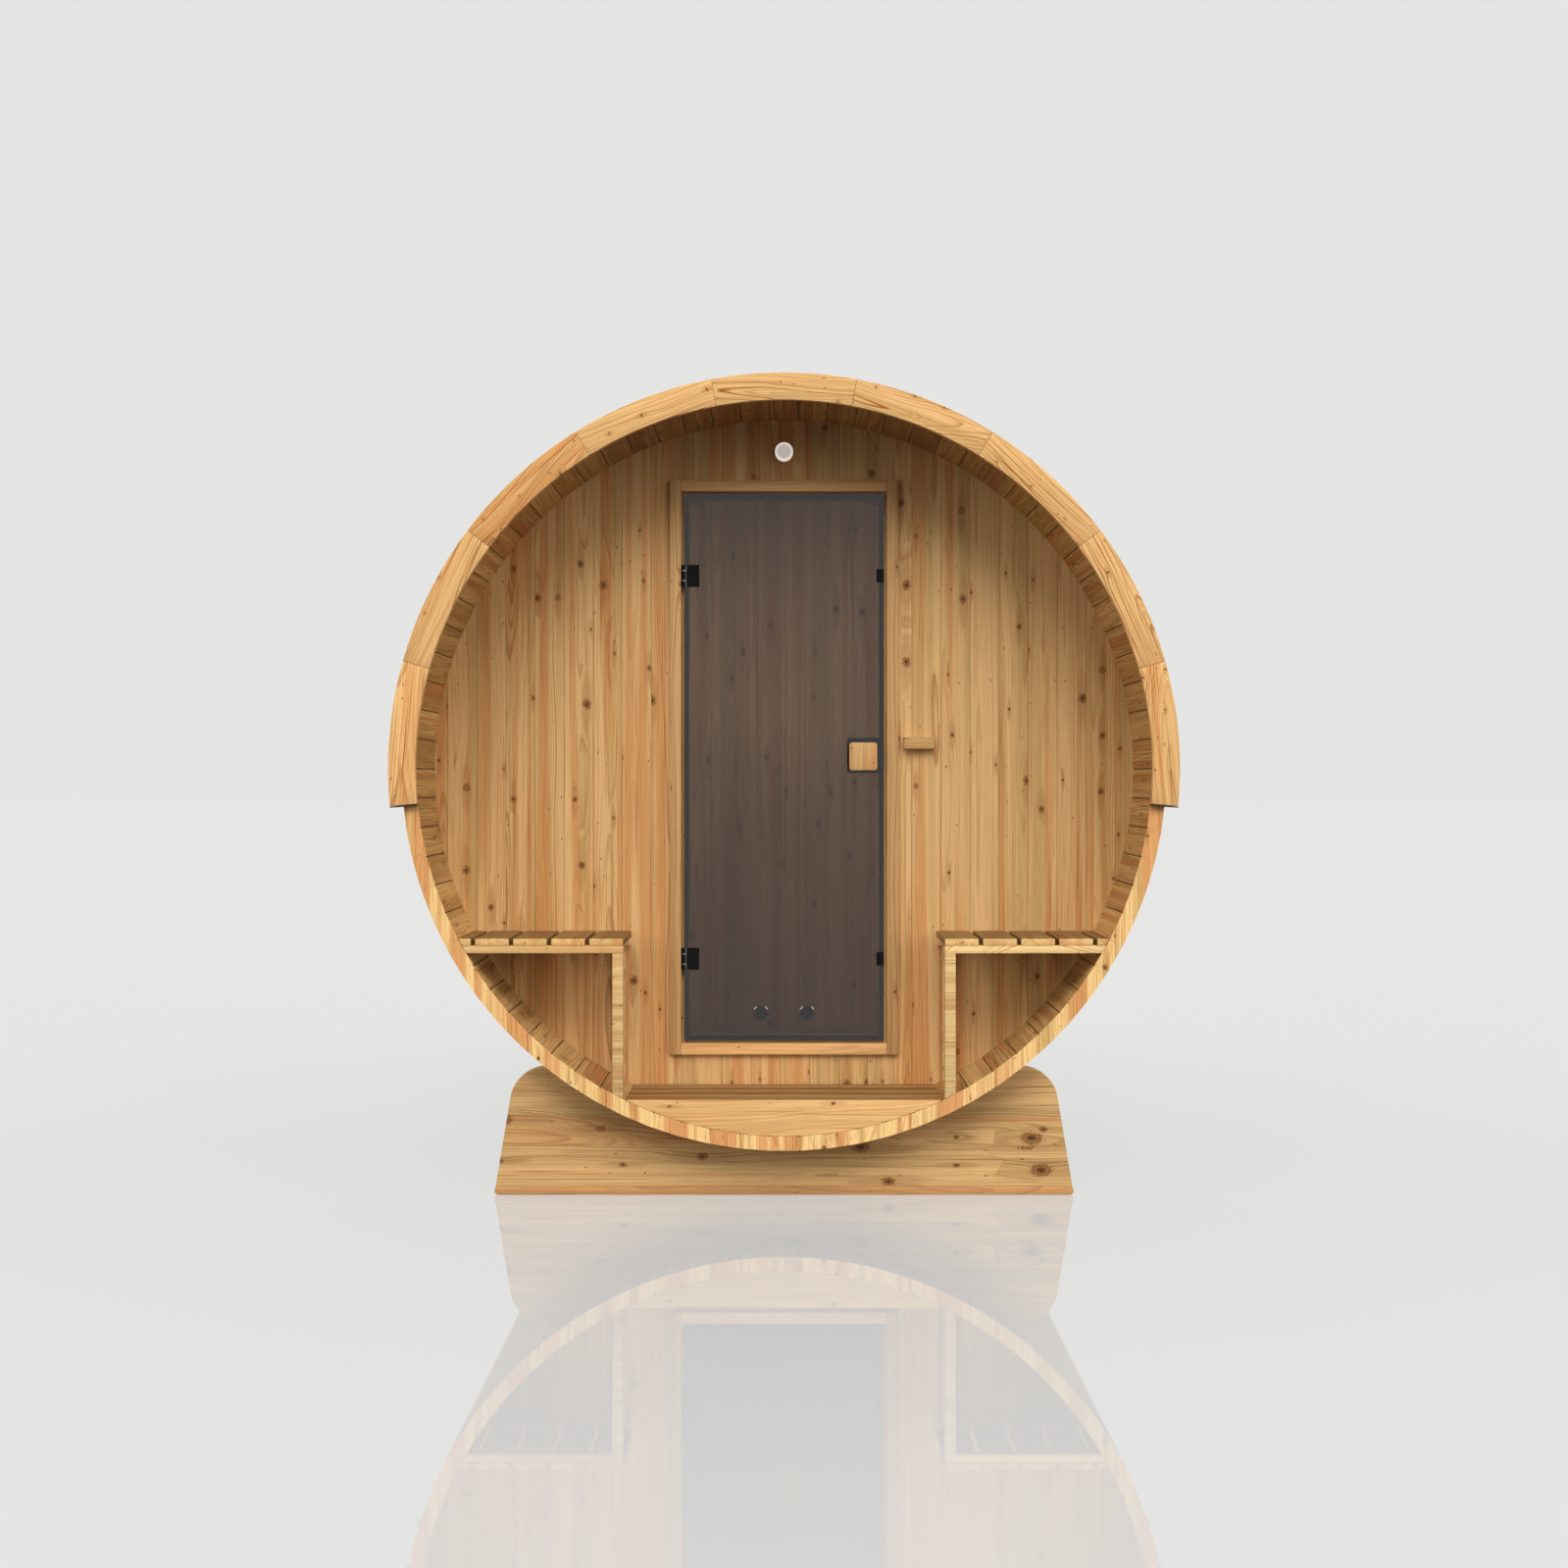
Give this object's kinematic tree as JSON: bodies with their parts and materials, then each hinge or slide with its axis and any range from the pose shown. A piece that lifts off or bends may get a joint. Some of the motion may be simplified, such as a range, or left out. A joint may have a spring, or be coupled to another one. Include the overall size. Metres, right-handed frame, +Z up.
{
  "type": "barrel sauna",
  "caption": "Free-standing barrel sauna of tongued wooden staves on two cradles, with an open porch, two slatted benches and a hinged glass door.",
  "frame": {"origin": "on the ground at the centre of the footprint, below the barrel's centre line", "axes": "+Z up, +Y from the porch to the back wall, +X to the right seen from the porch"},
  "size_m": [2.1216, 1.95, 2.2307],
  "materials": {
    "stave_wood": "satin",
    "hoop_steel": "satin",
    "wall_wood": "satin",
    "vent_metal": "satin",
    "trim_wood": "satin",
    "door_glass": "gloss",
    "black_metal": "satin",
    "spindle_steel": "satin",
    "light_white": "matte",
    "bench_wood": "satin",
    "floor_wood": "satin",
    "roof_wood": "satin",
    "fascia_wood": "satin",
    "drip_metal": "matte",
    "cradle_wood": "satin"
  },
  "bodies": {
    "cabin": {"staves_bottom": "stave_wood", "staves_left_low": "stave_wood", "staves_left_mid": "stave_wood", "staves_left_high": "stave_wood", "staves_top": "stave_wood", "staves_right_low": "stave_wood", "staves_right_mid": "stave_wood", "staves_right_high": "stave_wood", "steel_hoops": "hoop_steel", "front_wall_left": "wall_wood", "front_wall_right": "wall_wood", "front_wall_over_door": "wall_wood", "front_wall_below_door": "wall_wood", "back_wall": "wall_wood", "back_vents": "vent_metal", "door_jambs": "trim_wood", "door_head": "trim_wood", "door_sill": "trim_wood", "door_casing": "trim_wood", "hinge_leaves": "black_metal", "porch_light_base": "light_white", "porch_light_lens": "light_white", "towel_peg": "trim_wood", "bench_slats_left": "bench_wood", "bench_slats_right": "bench_wood", "bench_frames_left": "bench_wood", "bench_frames_right": "bench_wood", "porch_floor": "floor_wood", "floor_front_board": "floor_wood", "cabin_floor": "floor_wood", "floor_bearers": "floor_wood", "roof_boards_left": "roof_wood", "roof_boards_top": "roof_wood", "roof_boards_right": "roof_wood", "roof_ribs": "roof_wood", "fascia_front": "fascia_wood", "fascia_rear": "fascia_wood", "drip_strips": "drip_metal", "cradle_front": "cradle_wood", "cradle_rear": "cradle_wood", "cradle_soles": "cradle_wood"},
    "door": {"door_glass": "door_glass", "hinge_clamps": "black_metal", "strike_plates": "black_metal", "handle_outer": "trim_wood", "handle_inner": "trim_wood", "handle_spindle": "spindle_steel"}
  },
  "joints": [
    {"name": "door_hinge", "type": "hinge", "parent": "cabin", "child": "door", "pos_m": [-0.2844, -0.652, 0.396], "axis": [0, 0, -1], "range_deg": [0, 100]}
  ]
}
